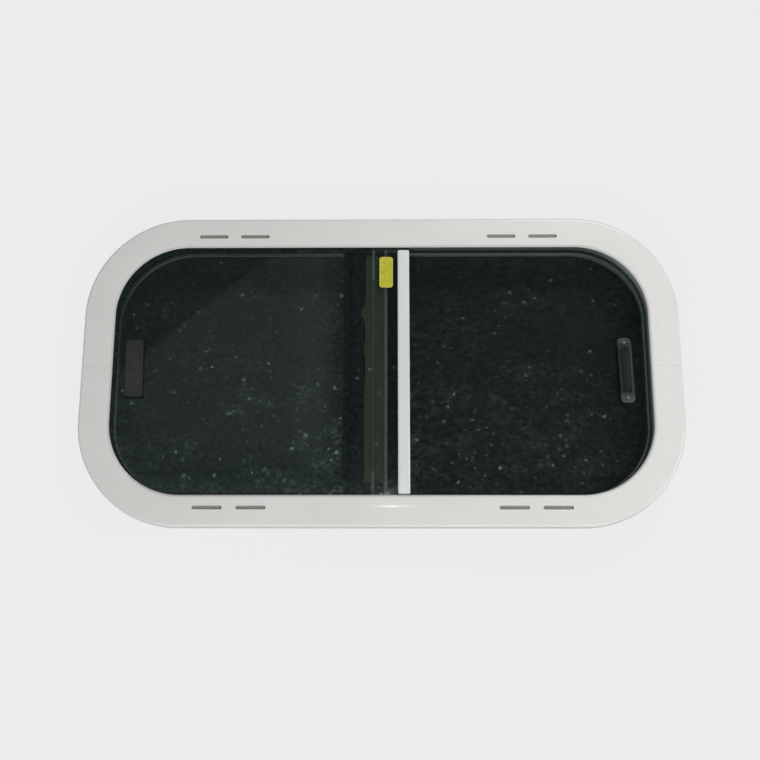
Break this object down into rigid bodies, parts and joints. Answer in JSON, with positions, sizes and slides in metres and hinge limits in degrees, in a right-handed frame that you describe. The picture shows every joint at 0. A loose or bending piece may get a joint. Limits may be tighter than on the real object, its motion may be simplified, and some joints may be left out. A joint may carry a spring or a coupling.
{
  "type": "sliding cabin window",
  "caption": "Radius-corner horizontal sliding cabin window: white crowned frame, overlapping tinted panes that slide past each other, interlock, finger pulls and interior clamp ring.",
  "frame": {"origin": "centre of the interior clamp ring's rear face, which is the face the window lies on", "axes": "+X along the slide, towards the right-hand jamb seen from outside; +Y up the installed window; +Z out of the exterior face"},
  "size_m": [0.61, 0.322, 0.044],
  "materials": {
    "white_powder_coat": "satin",
    "white_trim": "satin",
    "aluminium": "satin",
    "stainless": "satin",
    "black_flock": "matte",
    "grey_foam": "matte",
    "tinted_glass": "gloss",
    "black_plastic": "satin",
    "grey_plastic": "satin",
    "tan_tape": "matte",
    "yellow_tag": "satin",
    "wool_pile": "matte"
  },
  "bodies": {
    "frame": {"upper_frame": "white_powder_coat", "lower_frame": "white_powder_coat", "left_joiner_plate": "aluminium", "right_joiner_plate": "aluminium", "left_joiner_screw_1": "stainless", "left_joiner_screw_2": "stainless", "right_joiner_screw_1": "stainless", "right_joiner_screw_2": "stainless", "upper_run_channel": "black_flock", "lower_run_channel": "black_flock", "flange_gasket": "grey_foam", "clamp_ring": "white_trim", "clamp_screw_01": "stainless", "clamp_screw_02": "stainless", "clamp_screw_03": "stainless", "clamp_screw_04": "stainless", "clamp_screw_05": "stainless", "clamp_screw_06": "stainless", "clamp_screw_07": "stainless", "clamp_screw_08": "stainless", "clamp_screw_09": "stainless", "clamp_screw_10": "stainless", "clamp_screw_11": "stainless", "clamp_screw_12": "stainless", "clamp_screw_13": "stainless", "clamp_screw_14": "stainless", "clamp_screw_15": "stainless", "clamp_screw_16": "stainless"},
    "outer_sash": {"outer_pane": "tinted_glass", "edge_channel": "white_powder_coat", "outer_interlock": "aluminium", "interlock_tape_left": "tan_tape", "interlock_tape_right": "tan_tape", "left_pull": "black_plastic", "left_pull_pad": "tan_tape", "blank_tag": "yellow_tag"},
    "inner_sash": {"inner_pane": "tinted_glass", "inner_interlock": "black_plastic", "pile_strip": "wool_pile", "right_pull": "grey_plastic", "right_pull_pad": "tan_tape"}
  },
  "joints": [
    {"name": "outer_sash_slide", "type": "slide", "parent": "frame", "child": "outer_sash", "axis": [1, 0, 0], "range_m": [0, 0.165]},
    {"name": "inner_sash_slide", "type": "slide", "parent": "frame", "child": "inner_sash", "axis": [1, 0, 0], "range_m": [-0.165, 0]}
  ]
}
